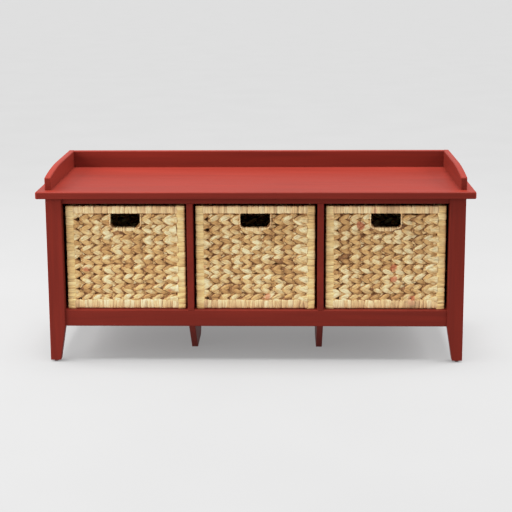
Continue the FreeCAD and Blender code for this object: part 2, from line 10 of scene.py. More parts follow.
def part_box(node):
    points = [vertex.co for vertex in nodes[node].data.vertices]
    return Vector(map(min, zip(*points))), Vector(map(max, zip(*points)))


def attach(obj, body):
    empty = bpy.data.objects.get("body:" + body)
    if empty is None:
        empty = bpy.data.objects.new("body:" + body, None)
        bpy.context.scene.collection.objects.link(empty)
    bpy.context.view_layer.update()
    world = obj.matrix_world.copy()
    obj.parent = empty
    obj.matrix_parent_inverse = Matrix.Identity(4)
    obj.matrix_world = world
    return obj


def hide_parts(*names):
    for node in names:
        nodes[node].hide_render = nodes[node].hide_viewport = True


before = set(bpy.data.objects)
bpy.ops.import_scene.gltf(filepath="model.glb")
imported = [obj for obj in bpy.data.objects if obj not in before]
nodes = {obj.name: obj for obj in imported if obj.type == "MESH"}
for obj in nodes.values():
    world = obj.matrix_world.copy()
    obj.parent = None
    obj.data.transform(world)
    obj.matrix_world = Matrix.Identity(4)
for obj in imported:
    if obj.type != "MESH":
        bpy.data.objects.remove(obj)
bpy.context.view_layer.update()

# ---- values of the plaiting and the wraps, in metres and degrees ----

BASKET_SEED = 41
# Each face's tone, with painted shade taken off it at strand edges, tails, turns and strip lips
STRAND_TONE = "strand_tone"
FIBRE_PLACE = "fibre_place"
FIBRE_REACH = 9

# One shown turn of a strand. Its form is worked out on a ball of radius 1.
STRAND_SIDES = 8
STRAND_RINGS = 7
STRAND_PLUMP = 1.08
TAIL_DRAW = 0.50
NOSE_DRAW = 0.36
STRAND_ARCH = 0.20
# Painted shade, taken off the tone: darker towards a strand's sunk edges and towards its tail, where
# it goes under
EDGE_SHADE = 1.50
TAIL_SHADE = 0.62

# How the strands lie in pairs, and how far each one may differ
STRAND_HALF_LENGTH = 0.0206
STRAND_HALF_WIDTH = 0.0095
STRAND_HALF_DEPTH = 0.0050
STRAND_LENGTHS = (0.88, 1.12)
STRAND_WIDTHS = (0.86, 1.10)
STRAND_DEPTHS = (0.88, 1.04)
STRAND_SLOPE = 24
STRAND_DIP = 8
STRAND_OFF_LINE = 0.0060
SLOPE_JITTER = 4
DIP_JITTER = 2.5
ROLL_JITTER = 9
OFF_LINE_JITTER = 0.0006
NOSE_LAP = 0.93

# The rows that the pairs make
LAYER_OFFSET = 0.0018
NOSE_STEP = 0.0262
NOSE_JITTER = 0.0026
FIRST_NOSE = 0.010
FIRST_PARTING = 1.3
ROW_STEP = 0.0255
ROW_WAVE = 0.0015
WAVE_STEP = 0.9
FIRST_ROW_DOWN = 0.0155

# Where a row turns back round the wall's upright. Its form is a cone of radius 1.
TURN_SIDES = 12
TURN_POINT = 0.06
TURN_LENGTH = 2.0
CAP_EDGE = 0.6
CAP_BEVEL = 0.12
# Painted shade: the share of the edge shade that a turn's faces get where they face away from the
# front
TURN_SHADE = 0.6
TURN_HALF_LENGTH = 0.0155
TURN_HALF_WIDTH = 0.0128
TURN_LENGTHS = (0.9, 1.1)
TURN_WIDTHS = (0.88, 1.04)
TURN_SHIFTS = (-0.0015, 0.001)
TURN_TONES = (0.78, 1.0)
TURN_TILT = 6
TURN_RISE = 0.0026
TURN_INSET = 0.0125
TURN_COVER = 1.9

# The plain stalk inside each row. Its darkest tone is painted shade where the strands part.
CORE_SIDES = 8
CORE_RADIUS = 0.0036
CORE_TONE = 0.06
CORE_START = 0.015

# Tones run from 0 for red-brown to 1 for pale straw. A chance under the first share gives
# brown, under the second share tan, and otherwise straw.
STRAW_MEAN_AND_SPREAD = (0.82, 0.18)
STRAND_SHARES = (0.02, 0.18)
STRAND_BROWN = (0.04, 0.16)
STRAND_TAN = (0.34, 0.50)
STRAND_STRAW = (0.45, 1.05)
STRIP_SHARES = (0.05, 0.28)
STRIP_BROWN = (0.06, 0.26)
STRIP_TAN = (0.28, 0.50)
STRIP_STRAW = (0.50, 1.0)
BROWN_RUN = (1, 3)

# Walls, posts and rims. Strips are given as the narrowest and the widest.
WEAVE_SETBACK = 0.002
WEAVE_DEPTH = 0.012
POST_WIDTH = 0.022
WRAP_DEPTH = 0.016
WRAP_RADIUS = 0.004
WRAP_BEVEL_SEGMENTS = 3
RIM_LAP = 0.004
POST_STRIPS = (0.008, 0.022)
TOP_RIM_STRIPS = (0.006, 0.022)
BOTTOM_RIM_STRIPS = (0.006, 0.017)
RINGS_PER_STRIP = 4
STRIP_GROOVE = 0.0008
GROOVE_DEPTHS = (0.6, 0.9, 1.3, 2.0, 3.2)
STRIP_EDGE = 0.0007
STRIP_CROWN = 0.0002
STRIP_SINK = 0.0006
STRIP_SLANT = 0.09
# Painted shade on each strip's lips beside the grooves, half as much on the posts
LIP_SHADE = 0.30
POST_LIP_SHADE = LIP_SHADE / 2

# The hand hole and its bound edge
HOLE_HALF_WIDTH = 0.037
HOLE_HEIGHT = 0.035
HOLE_RADIUS = 0.009
HOLE_SLACK = 0.001
BINDING_DEPTH = 0.016
BINDING = 0.004
LOWER_BINDING = 0.010
BINDING_COVER = 0.6
BINDING_STRIPS = (0.005, 0.009)
BINDING_RADIUS = 0.0015
BEND_RADIUS = HOLE_RADIUS + BINDING / 2
BEND_ARC = BEND_RADIUS * math.pi / 2
BOUND_SIDE = HOLE_HEIGHT + BINDING / 2 - BEND_RADIUS
BOUND_CORNER = HOLE_HALF_WIDTH + BINDING / 2 - BEND_RADIUS
BOUND_FOOT = 2 * BOUND_CORNER
BOUND_LENGTH = 2 * BOUND_SIDE + math.pi * BEND_RADIUS + BOUND_FOOT

# ---- values of the finishes ----

# Most of a noise texture's values lie in this range
NOISE_RANGE = (0.3, 0.7)

STALK_TONES = (
    (0.00, (0.24, 0.104, 0.038)),
    (0.10, (0.38, 0.184, 0.066)),
    (0.24, (0.53, 0.282, 0.100)),
    (0.48, (0.70, 0.408, 0.154)),
    (0.74, (0.83, 0.560, 0.256)),
    (1.00, (0.97, 0.785, 0.450)))
STALK_RED = (0.56, 0.145, 0.066)
RED_PLACES = (0.70, 0.73, 0.0, 0.75)
STALK_PALE = (1.0, 0.8, 0.5)
GOLDEN_PALE = (1.0, 0.68, 0.285)
RIM_PALE = (1.0, 0.69, 0.38)
BLOTCH = 0.16
PATCH = 0.12
STREAKS = (0.34, 0.60, 0.60, 1.10)
# Painted shade: how far the colour darkens in the crease hollows that the bump sinks
PAINTED_CREASE_SHADE = (0.30, 0.52, 0.68, 1.0)
FIBRE_STRETCH = (40.0, 900.0, 900.0)
CREASE_STRETCH = (22.0, 260.0, 260.0)
FIBRE_HEIGHT = 0.35
STALK_ROUGHNESS = (0.72, 0.50)
STALK_SPECULAR = 0.35

GRAIN_STRETCH = (3.0, 95.0, 95.0)
CLOUD_STRETCH = (2.0, 9.0, 9.0)
CLOUD_SHADES = (0.90, 1.08)
STIPPLE_SCALE = 900.0
STIPPLE_HEIGHT = 0.25
SPECKLE_RANGE = (0.35, 0.65)
FITTING_GRAIN_SCALE = 2.0
WOOD_ROUGHNESS_SPREAD = 0.04
FITTING_ROUGHNESS_SPREAD = 0.05

ALONG_X = (0.0, 0.0, 0.0)
ALONG_Y = (0.0, 0.0, math.radians(-90))
UPRIGHT = (0.0, math.radians(90), 0.0)
RED_PAINT = {"grain_scale": 1.0, "colours": ((0.168, 0.0190, 0.0122), (0.130, 0.0160, 0.0108)),
             "roughness": 0.42, "specular": 0.05, "bump": 0.00020}
BARE_WOOD = {"grain_scale": 6.0, "colours": ((0.60, 0.42, 0.24), (0.48, 0.31, 0.16)),
             "roughness": 0.6, "specular": 0.4, "bump": 0.0001}
ZINC_STEEL = {"light": (0.62, 0.62, 0.62), "dark": (0.50, 0.51, 0.52),
              "roughness": 0.35, "metallic": 1.0, "bump": 0.00002}
GLIDE_PLASTIC = {"light": (0.14, 0.046, 0.036), "dark": (0.10, 0.033, 0.027),
                 "roughness": 0.6, "metallic": 0.0, "bump": 0.00003}


# ---- shader groups ----

def socket_group(name, inputs, outputs):
    """A shader group with inputs given as (name, type, value) and outputs as (name, type)."""
    group = bpy.data.node_groups.new(name, "ShaderNodeTree")
    for label, kind, value in inputs:
        socket = group.interface.new_socket(label, in_out="INPUT", socket_type=kind)
        if value is not None:
            socket.default_value = value
    for label, kind in outputs:
        group.interface.new_socket(label, in_out="OUTPUT", socket_type=kind)
    return group, group.nodes.new("NodeGroupInput"), group.nodes.new("NodeGroupOutput")


def add(tree, kind, **settings):
    """A new node with its settings."""
    node = tree.nodes.new(kind)
    for key, value in settings.items():
        setattr(node, key, value)
    return node


def feed(tree, socket, value):
    """Feeds an input from another socket, a plain number or a plain colour."""
    if isinstance(value, (int, float)):
        socket.default_value = value
    elif isinstance(value, tuple):
        socket.default_value = (*value, 1.0)
    else:
        tree.links.new(value, socket)


def math_node(tree, operation, first, second):
    """A Math node fed by sockets or plain numbers."""
    node = add(tree, "ShaderNodeMath", operation=operation)
    feed(tree, node.inputs[0], first)
    feed(tree, node.inputs[1], second)
    return node.outputs[0]


def noise(tree, vector, scale, detail, roughness=0.5, distortion=0.0):
    """A noise texture's value over a vector."""
    node = add(tree, "ShaderNodeTexNoise")
    node.inputs["Scale"].default_value = scale
    node.inputs["Detail"].default_value = detail
    node.inputs["Roughness"].default_value = roughness
    node.inputs["Distortion"].default_value = distortion
    tree.links.new(vector, node.inputs["Vector"])
    return node.outputs["Fac"]


def scaled(tree, vector, scale):
    """A vector stretched by a scale for each axis."""
    node = add(tree, "ShaderNodeMapping")
    node.inputs["Scale"].default_value = scale
    tree.links.new(vector, node.inputs["Vector"])
    return node.outputs["Vector"]


def spread(tree, value, low, high, to_low=0.0, to_high=1.0):
    """A value between low and high, spread over a new range and held inside it."""
    node = add(tree, "ShaderNodeMapRange", clamp=True)
    node.inputs["From Min"].default_value = low
    node.inputs["From Max"].default_value = high
    node.inputs["To Min"].default_value = to_low
    node.inputs["To Max"].default_value = to_high
    tree.links.new(value, node.inputs["Value"])
    return node.outputs["Result"]


def ramp(tree, value, stops):
    """A colour ramp from (place, colour) stops."""
    node = add(tree, "ShaderNodeValToRGB")
    elements = node.color_ramp.elements
    while len(elements) < len(stops):
        elements.new(0.5)
    for element, (place, colour) in zip(elements, stops):
        element.position = place
        element.color = (*colour, 1.0)
    tree.links.new(value, node.inputs["Fac"])
    return node.outputs["Color"]


def mixed(tree, factor, first, second, blend="MIX"):
    """A colour mix fed by sockets or plain colours."""
    node = add(tree, "ShaderNodeMix", data_type="RGBA", blend_type=blend)
    for key, value in (("Factor", factor), ("A", first), ("B", second)):
        feed(tree, [s for s in node.inputs if s.name == key and s.enabled][0], value)
    return [s for s in node.outputs if s.enabled][0]


def multiplied(tree, colour, shade):
    """A colour multiplied by a shade."""
    return mixed(tree, 1.0, colour, shade, "MULTIPLY")


def straw_group():
    """Dry plaited stalk: its tone, its redder places, its fibres and its creases, with painted shade
    darkening the crease hollows.
    """
    group, inside, out = socket_group(
        "dry_stalk",
        [("Tone", "NodeSocketFloat", 0.5), ("Fibre place", "NodeSocketVector", None),
         ("Patch place", "NodeSocketVector", None), ("Bleach", "NodeSocketFloat", 0.0),
         ("Bleached", "NodeSocketColor", (*STALK_PALE, 1.0))],
        [("Color", "NodeSocketColor"), ("Roughness", "NodeSocketFloat"),
         ("Height", "NodeSocketFloat")])
    fibre_place, patch_place = inside.outputs["Fibre place"], inside.outputs["Patch place"]
    fibres = noise(group, scaled(group, fibre_place, FIBRE_STRETCH), 1.0, detail=4.0, roughness=0.62)
    creases = noise(group, scaled(group, fibre_place, CREASE_STRETCH), 1.0, detail=2.0, distortion=0.4)
    blotches = noise(group, fibre_place, 70.0, detail=3.0, roughness=0.6)
    patches = noise(group, patch_place, 15.0, detail=2.0, roughness=0.55)
    red_places = noise(group, patch_place, 19.0, detail=1.0)
    shade = math_node(group, "ADD", inside.outputs["Tone"],
                      spread(group, blotches, *NOISE_RANGE, -BLOTCH, BLOTCH))
    shade = math_node(group, "ADD", shade, spread(group, patches, *NOISE_RANGE, -PATCH, PATCH))
    shade = math_node(group, "MINIMUM", math_node(group, "MAXIMUM", shade, 0.0), 1.0)
    colour = ramp(group, shade, STALK_TONES)
    colour = mixed(group, spread(group, red_places, *RED_PLACES), colour, STALK_RED)
    colour = mixed(group, inside.outputs["Bleach"], colour, inside.outputs["Bleached"])
    colour = multiplied(group, colour, spread(group, fibres, *STREAKS))
    # Painted shade: the colour darkens in the crease hollows
    colour = multiplied(group, colour, spread(group, creases, *PAINTED_CREASE_SHADE))
    group.links.new(colour, out.inputs["Color"])
    group.links.new(spread(group, fibres, *NOISE_RANGE, *STALK_ROUGHNESS), out.inputs["Roughness"])
    height = math_node(group, "ADD", math_node(group, "MULTIPLY", fibres, FIBRE_HEIGHT), creases)
    group.links.new(height, out.inputs["Height"])
    return group


def grain_group():
    """Long wood grain along X of its place, with a fine stipple and wide soft clouds."""
    group, inside, out = socket_group(
        "board_grain",
        [("Place", "NodeSocketVector", None), ("Grain scale", "NodeSocketFloat", 1.0)],
        [("Grain", "NodeSocketFloat"), ("Stipple", "NodeSocketFloat"), ("Cloud", "NodeSocketFloat")])
    sized = add(group, "ShaderNodeVectorMath", operation="SCALE")
    group.links.new(inside.outputs["Place"], sized.inputs[0])
    group.links.new(inside.outputs["Grain scale"], sized.inputs["Scale"])
    place = sized.outputs["Vector"]
    long_grain = noise(group, scaled(group, place, GRAIN_STRETCH), 1.0, detail=4.0, roughness=0.6,
                       distortion=0.3)
    group.links.new(long_grain, out.inputs["Grain"])
    group.links.new(noise(group, place, STIPPLE_SCALE, detail=2.0), out.inputs["Stipple"])
    clouds = noise(group, scaled(group, place, CLOUD_STRETCH), 1.0, detail=2.0)
    group.links.new(clouds, out.inputs["Cloud"])
    return group


straw = straw_group()
grain = grain_group()


# ---- materials ----

def new_material(name):
    """A material with a fresh tree, its shader and its place over the object."""
    material = bpy.data.materials.new(name)
    material.use_nodes = True
    tree = material.node_tree
    tree.nodes.clear()
    shader = add(tree, "ShaderNodeBsdfPrincipled")
    output = add(tree, "ShaderNodeOutputMaterial")
    tree.links.new(shader.outputs["BSDF"], output.inputs["Surface"])
    place = add(tree, "ShaderNodeTexCoord").outputs["Object"]
    return material, tree, shader, place


def bumped(tree, shader, height, distance):
    """A bump from a height that feeds the shader's normal."""
    node = add(tree, "ShaderNodeBump")
    node.inputs["Strength"].default_value = 1.0
    node.inputs["Distance"].default_value = distance
    tree.links.new(height, node.inputs["Height"])
    tree.links.new(node.outputs["Normal"], shader.inputs["Normal"])


def placed_group(tree, group, **inputs):
    """A group in a material. An underscore in an input's name stands for its space."""
    node = add(tree, "ShaderNodeGroup", node_tree=group)
    for key, value in inputs.items():
        feed(tree, node.inputs[key.replace("_", " ")], value)
    return node


def attribute(tree, name):
    """The node that reads an attribute of the mesh."""
    return add(tree, "ShaderNodeAttribute", attribute_type="GEOMETRY", attribute_name=name)


def straw_material(name, bleach, bleached, bump):
    """Dry stalk over a plaited or wrapped piece, faded towards a paler colour."""
    material, tree, shader, place = new_material(name)
    tone = attribute(tree, STRAND_TONE).outputs["Fac"]
    fibre = attribute(tree, FIBRE_PLACE).outputs["Vector"]
    node = placed_group(tree, straw, Tone=tone, Fibre_place=fibre, Patch_place=place,
                        Bleach=bleach, Bleached=bleached)
    tree.links.new(node.outputs["Color"], shader.inputs["Base Color"])
    tree.links.new(node.outputs["Roughness"], shader.inputs["Roughness"])
    shader.inputs["Specular IOR Level"].default_value = STALK_SPECULAR
    bumped(tree, shader, node.outputs["Height"], bump)
    return material


def clouded_roughness(tree, shader, cloud, roughness, reach):
    """A roughness that drifts a little either way with the clouds."""
    drift = spread(tree, cloud, *NOISE_RANGE, roughness - reach, roughness + reach)
    tree.links.new(drift, shader.inputs["Roughness"])


def wood_material(name, turn, grain_scale, colours, roughness, specular, bump):
    """Painted or bare wood whose grain is turned to run along its board."""
    material, tree, shader, place = new_material(name)
    turned = add(tree, "ShaderNodeMapping")
    turned.inputs["Rotation"].default_value = turn
    tree.links.new(place, turned.inputs["Vector"])
    node = placed_group(tree, grain, Place=turned.outputs["Vector"], Grain_scale=grain_scale)
    colour = mixed(tree, spread(tree, node.outputs["Grain"], *NOISE_RANGE), *colours)
    cloud = spread(tree, node.outputs["Cloud"], *NOISE_RANGE, *CLOUD_SHADES)
    tree.links.new(multiplied(tree, colour, cloud), shader.inputs["Base Color"])
    clouded_roughness(tree, shader, node.outputs["Cloud"], roughness, WOOD_ROUGHNESS_SPREAD)
    shader.inputs["Specular IOR Level"].default_value = specular
    stipple = math_node(tree, "MULTIPLY", node.outputs["Stipple"], STIPPLE_HEIGHT)
    bumped(tree, shader, math_node(tree, "ADD", node.outputs["Grain"], stipple), bump)
    return material


def speckled_material(name, light, dark, roughness, metallic, bump):
    """A small fitting's surface with a fine even speckle."""
    material, tree, shader, place = new_material(name)
    node = placed_group(tree, grain, Place=place, Grain_scale=FITTING_GRAIN_SCALE)
    speckle = spread(tree, node.outputs["Stipple"], *SPECKLE_RANGE)
    tree.links.new(mixed(tree, speckle, light, dark), shader.inputs["Base Color"])
    clouded_roughness(tree, shader, node.outputs["Cloud"], roughness, FITTING_ROUGHNESS_SPREAD)
    shader.inputs["Metallic"].default_value = metallic
    bumped(tree, shader, node.outputs["Stipple"], bump)
    return material


paint_along = wood_material("red_paint_along", ALONG_X, **RED_PAINT)
paint_across = wood_material("red_paint_across", ALONG_Y, **RED_PAINT)
paint_upright = wood_material("red_paint_upright", UPRIGHT, **RED_PAINT)
dowel_wood = wood_material("dowel_wood", ALONG_X, **BARE_WOOD)
steel = speckled_material("zinc_steel", **ZINC_STEEL)
glide = speckled_material("glide", **GLIDE_PLASTIC)
braid = straw_material("hyacinth_braid", bleach=0.0, bleached=STALK_PALE, bump=0.0020)
post_wrap = straw_material("golden_hyacinth_wrap", bleach=0.64, bleached=GOLDEN_PALE, bump=0.0010)
rim_wrap = straw_material("pale_hyacinth_wrap", bleach=0.48, bleached=RIM_PALE, bump=0.0012)


def paint_for(node):
    """The painted finish whose grain follows a board."""
    low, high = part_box(node)
    size = high - low
    longest = max(range(3), key=lambda axis: size[axis])
    return (paint_along, paint_across, paint_upright)[longest]


def finish_for(node):
    """The finish of a CAD node."""
    if node == "leg_glides":
        return glide
    if node.endswith("_dowels"):
        return dowel_wood
    if node.endswith("_screws") or node.endswith("_wire_frame"):
        return steel
    return paint_for(node)


for name, obj in nodes.items():
    obj.data.materials.clear()
    obj.data.materials.append(finish_for(name))


# ---- meshes and random values ----

def finished_mesh(name, bm):
    """A mesh from a bmesh that is then freed."""
    mesh = bpy.data.meshes.new(name)
    bm.to_mesh(mesh)
    bm.free()
    return mesh


def new_piece(name, bm, material, body, replaced):
    """Turns a finished bmesh into a piece that rides on its body and stands for its nodes."""
    mesh = finished_mesh(name, bm)
    mesh.shade_smooth()
    mesh.materials.append(material)
    piece = bpy.data.objects.new(name, mesh)
    bpy.context.scene.collection.objects.link(piece)
    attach(piece, body)
    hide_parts(*replaced)


def straw_bmesh():
    """An empty bmesh with the layers that the stalk's finish reads."""
    bm = bmesh.new()
    bm.faces.layers.float.new(STRAND_TONE)
    bm.verts.layers.float_vector.new(FIBRE_PLACE)
    return bm


def straw_layers(bm):
    """The layers of a straw bmesh: each face's tone and each vertex's place in the fibres."""
    return bm.faces.layers.float[STRAND_TONE], bm.verts.layers.float_vector[FIBRE_PLACE]


def joined_into(bm, part):
    """Adds a finished part to a larger bmesh."""
    mesh = finished_mesh("part", part)
    bm.from_mesh(mesh)
    bpy.data.meshes.remove(mesh)


def either_way(rng, reach):
    """A random value up to a reach either way."""
    return rng.uniform(-reach, reach)


def fibre_shift(rng, axes):
    """A random shift of the fibres along the first axes, so that no two lengths are alike."""
    return Vector([either_way(rng, FIBRE_REACH) for _ in range(axes)] + [0.0] * (3 - axes))


def straw_tone(rng, limits):
    """A random straw tone held between two limits."""
    return min(limits[1], max(limits[0], rng.gauss(*STRAW_MEAN_AND_SPREAD)))


def strand_tone(rng):
    """A strand's tone: mostly straw, some tan, a few red-brown."""
    chance = rng.random()
    if chance < STRAND_SHARES[0]:
        return rng.uniform(*STRAND_BROWN)
    if chance < STRAND_SHARES[1]:
        return rng.uniform(*STRAND_TAN)
    return straw_tone(rng, STRAND_STRAW)


def strip_tones(count, rng):
    """The tones of a bar's strips: pale straw, with tan strips and short red-brown runs."""
    tones = []
    while len(tones) < count:
        chance = rng.random()
        if chance < STRIP_SHARES[0]:
            tones += [rng.uniform(*STRIP_BROWN) for _ in range(rng.randint(*BROWN_RUN))]
        elif chance < STRIP_SHARES[1]:
            tones.append(rng.uniform(*STRIP_TAN))
        else:
            tones.append(straw_tone(rng, STRIP_STRAW))
    return tones


# ---- plaited walls ----

def strand_form():
    """One shown turn of a strand along X: plump at its nose, drawn out to its tail and arched.

    Its tone layer holds painted shade: how much darker each face is, towards the sunk edges and the
    tail."""
    bm = straw_bmesh()
    tone, fibre = straw_layers(bm)
    bmesh.ops.create_uvsphere(bm, u_segments=STRAND_SIDES, v_segments=STRAND_RINGS, radius=1.0,
                              matrix=Matrix.Rotation(math.radians(90), 4, "Y"))
    for face in bm.faces:
        middle = face.calc_center_median()
        # Painted shade: darker towards the sunk edges and the tail
        face[tone] = -EDGE_SHADE * (1.0 - abs(middle.z)) ** 2 - TAIL_SHADE * max(0.0, middle.x) ** 2
    for v in bm.verts:
        v[fibre] = v.co
        along = (v.co.x + 1.0) / 2.0
        fullness = STRAND_PLUMP - TAIL_DRAW * along ** 2 - NOSE_DRAW * (1.0 - along) ** 3
        v.co.y = v.co.y * fullness - STRAND_ARCH * v.co.x ** 2
        v.co.z *= fullness
    return finished_mesh("strand_form", bm)


def wedge_form():
    """The shown end of a row where it turns back: broad, and drawn to a point at +X."""
    bm = straw_bmesh()
    tone, fibre = straw_layers(bm)
    bmesh.ops.create_cone(bm, cap_ends=True, segments=TURN_SIDES, radius1=1.0, radius2=TURN_POINT,
                          depth=TURN_LENGTH, matrix=Matrix.Rotation(math.radians(90), 4, "Y"))
    bmesh.ops.bevel(bm, geom=[e for e in bm.edges if e.calc_length() < CAP_EDGE], offset=CAP_BEVEL,
                    segments=1, profile=0.5, affect="EDGES", material=-1, offset_type="OFFSET",
                    clamp_overlap=True)
    for v in bm.verts:
        v[fibre] = v.co
    # Painted shade: faces that turn away from the front are darker
    for face in bm.faces:
        face[tone] = -EDGE_SHADE * TURN_SHADE * (1.0 - min(1.0, abs(face.normal.z))) ** 2
    return finished_mesh("wedge_form", bm)


STRAND = strand_form()
WEDGE = wedge_form()


def lay_strand(bm, form, place, half_sizes, tone_value, rng):
    """Adds a strand's turn at a place, with its own tone and its own run of fibres."""
    tone, fibre = straw_layers(bm)
    vert_count, face_count = len(bm.verts), len(bm.faces)
    bm.from_mesh(form)
    bm.verts.ensure_lookup_table()
    bm.faces.ensure_lookup_table()
    fresh = bm.verts[vert_count:]
    stretch = Matrix.Diagonal((*half_sizes, 1.0))
    shift = fibre_shift(rng, 3)
    for v in fresh:
        v[fibre] = stretch @ Vector(v[fibre]) + shift
    bmesh.ops.transform(bm, matrix=place @ stretch, verts=fresh)
    for face in bm.faces[face_count:]:
        face[tone] += tone_value


def strand_pair(bm, layer, nose, level, parting, rng, left_out):
    """Two strands that share a nose on a row's centre line and part to the right."""
    for side in (1, -1):
        half_length = STRAND_HALF_LENGTH * rng.uniform(*STRAND_LENGTHS)
        half_sizes = (half_length, STRAND_HALF_WIDTH * rng.uniform(*STRAND_WIDTHS),
                      STRAND_HALF_DEPTH * rng.uniform(*STRAND_DEPTHS))
        x = nose + half_length * NOSE_LAP
        y = level + side * (STRAND_OFF_LINE * parting + either_way(rng, OFF_LINE_JITTER))
        if left_out and left_out(x, y):
            continue
        slope = math.radians(STRAND_SLOPE + either_way(rng, SLOPE_JITTER))
        dip = math.radians(STRAND_DIP + either_way(rng, DIP_JITTER))
        place = (layer @ Matrix.Translation((x, y, 0.0))
                 @ Matrix.Rotation(side * slope, 4, "Z") @ Matrix.Rotation(dip, 4, "Y"))
        if side < 0:
            place = place @ Matrix.Rotation(math.pi, 4, "X")
        place = place @ Matrix.Rotation(math.radians(either_way(rng, ROLL_JITTER)), 4, "X")
        lay_strand(bm, STRAND, place, half_sizes, strand_tone(rng), rng)


def row_layer(bm, layer, line, count, last, rng, left_out):
    """One layer of a row: pairs of strands along a slightly waving line, up to the last nose."""
    wave = rng.uniform(0, math.tau)
    for index in range(-1, count):
        nose = FIRST_NOSE + index * NOSE_STEP + either_way(rng, NOSE_JITTER)
        level = line + ROW_WAVE * math.sin(wave + index * WAVE_STEP)
        if nose < last:
            parting = FIRST_PARTING if index < 0 else 1.0
            strand_pair(bm, layer, nose, level, parting, rng, left_out)


def row_turn(bm, outer, width, line, rng):
    """The broad end of a row where it turns back round the wall's right upright."""
    half_sizes = (TURN_HALF_LENGTH * rng.uniform(*TURN_LENGTHS),
                  TURN_HALF_WIDTH * rng.uniform(*TURN_WIDTHS), STRAND_HALF_DEPTH)
    x = width - TURN_INSET + rng.uniform(*TURN_SHIFTS)
    tilt = math.pi + math.radians(either_way(rng, TURN_TILT))
    place = outer @ Matrix.Translation((x, line, TURN_RISE)) @ Matrix.Rotation(tilt, 4, "Z")
    lay_strand(bm, WEDGE, place, half_sizes, rng.uniform(*TURN_TONES), rng)


def core_stalk(bm, wall, line, start, end, rng):
    """The plain stalk inside a row, seen where the strands part. Its darkest tone is painted shade in
    those gaps.
    """
    core = straw_bmesh()
    tone, fibre = straw_layers(core)
    middle = Matrix.Translation(((start + end) / 2, line, 0.0))
    bmesh.ops.create_cone(core, cap_ends=True, segments=CORE_SIDES, radius1=CORE_RADIUS,
                          radius2=CORE_RADIUS, depth=end - start,
                          matrix=middle @ Matrix.Rotation(math.radians(90), 4, "Y"))
    shift = fibre_shift(rng, 2)
    for v in core.verts:
        v[fibre] = v.co + shift
    for face in core.faces:
        # Painted shade: the darkest tone, for the gaps where the strands part
        face[tone] = CORE_TONE
    bmesh.ops.transform(core, matrix=wall, verts=core.verts)
    joined_into(bm, core)


def plaited_rows(bm, wall, width, centre_lines, rng, left_out=None):
    """Rows in a wall's own frame, in two layers. The outer layer's noses point to the left."""
    count = int(math.ceil((width - FIRST_NOSE) / NOSE_STEP))
    outer = wall @ Matrix.Translation((0.0, 0.0, LAYER_OFFSET))
    inner = wall @ Matrix.Translation((width, 0.0, -LAYER_OFFSET)) @ Matrix.Rotation(math.pi, 4, "Y")
    mirrored = left_out and (lambda x, y: left_out(width - x, y))
    for line in centre_lines:
        row = straw_bmesh()
        row_layer(row, outer, line, count, width - TURN_HALF_LENGTH * TURN_COVER, rng, left_out)
        row_layer(row, inner, line, count, width - NOSE_STEP, rng, mirrored)
        row_turn(row, outer, width, line, rng)
        joined_into(bm, row)
        middle = width / 2
        if left_out and left_out(middle, line):
            core_stalk(bm, wall, line, CORE_START, middle - HOLE_HALF_WIDTH, rng)
            core_stalk(bm, wall, line, middle + HOLE_HALF_WIDTH, width, rng)
        else:
            core_stalk(bm, wall, line, CORE_START, width, rng)


def wall_frame(origin, along, up):
    """A wall's own frame: X along it, Y up it and Z out of it."""
    along, up = Vector(along), Vector(up)
    out = along.cross(up)
    turn = Matrix((along, up, out)).transposed().to_4x4()
    return Matrix.Translation(origin) @ turn


def basket_sizes(name):
    """The outer box of a basket and the levels of its rims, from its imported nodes."""
    low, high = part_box(f"{name}_corner_posts")
    return {"low": low, "high": high,
            "rim_under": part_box(f"{name}_top_rim")[0].z,
            "rim_over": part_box(f"{name}_bottom_rim")[1].z}


def row_lines(sizes):
    """The centre lines of the rows, from under the top rim down to the bottom rim."""
    line = sizes["rim_under"] - FIRST_ROW_DOWN
    lines = []
    while line > sizes["rim_over"]:
        lines.append(line)
        line -= ROW_STEP
    return lines


def inside_hole(x, y, middle, foot, margin):
    """Whether a place on the front lies inside the hand hole, grown by a margin."""
    return abs(x - middle) < HOLE_HALF_WIDTH + margin and y > foot - margin


def front_weave(name, sizes, rng):
    """The plaited front, its strands turned back round the hand hole."""
    low, high = sizes["low"], sizes["high"]
    width = high.x - low.x - 2 * POST_WIDTH
    depth_line = low.y + WEAVE_SETBACK + WEAVE_DEPTH / 2
    wall = wall_frame((low.x + POST_WIDTH, depth_line, 0.0), (1, 0, 0), (0, 0, 1))
    middle, foot = width / 2, sizes["rim_under"] - HOLE_HEIGHT
    bm = straw_bmesh()
    plaited_rows(bm, wall, width, row_lines(sizes), rng,
                 left_out=lambda x, y: inside_hole(x, y, middle, foot, -HOLE_SLACK))
    inner = wall.inverted()
    edge = BINDING * BINDING_COVER
    for v in bm.verts:
        place = inner @ v.co
        if inside_hole(place.x, place.y, middle, foot, edge):
            aside = HOLE_HALF_WIDTH + edge - abs(place.x - middle)
            down = place.y - (foot - edge)
            if aside < down:
                place.x += math.copysign(aside, place.x - middle)
            else:
                place.y -= down
            v.co = wall @ place
    new_piece(f"{name}_plaited_front", bm, braid, name, [f"{name}_front_weave"])


def back_weave(name, sizes, rng):
    """The plaited back."""
    low, high = sizes["low"], sizes["high"]
    width = high.x - low.x - 2 * POST_WIDTH
    wall = wall_frame((high.x - POST_WIDTH, high.y - WEAVE_SETBACK - WEAVE_DEPTH / 2, 0.0),
                      (-1, 0, 0), (0, 0, 1))
    bm = straw_bmesh()
    plaited_rows(bm, wall, width, row_lines(sizes), rng)
    new_piece(f"{name}_plaited_back", bm, braid, name, [f"{name}_back_weave"])


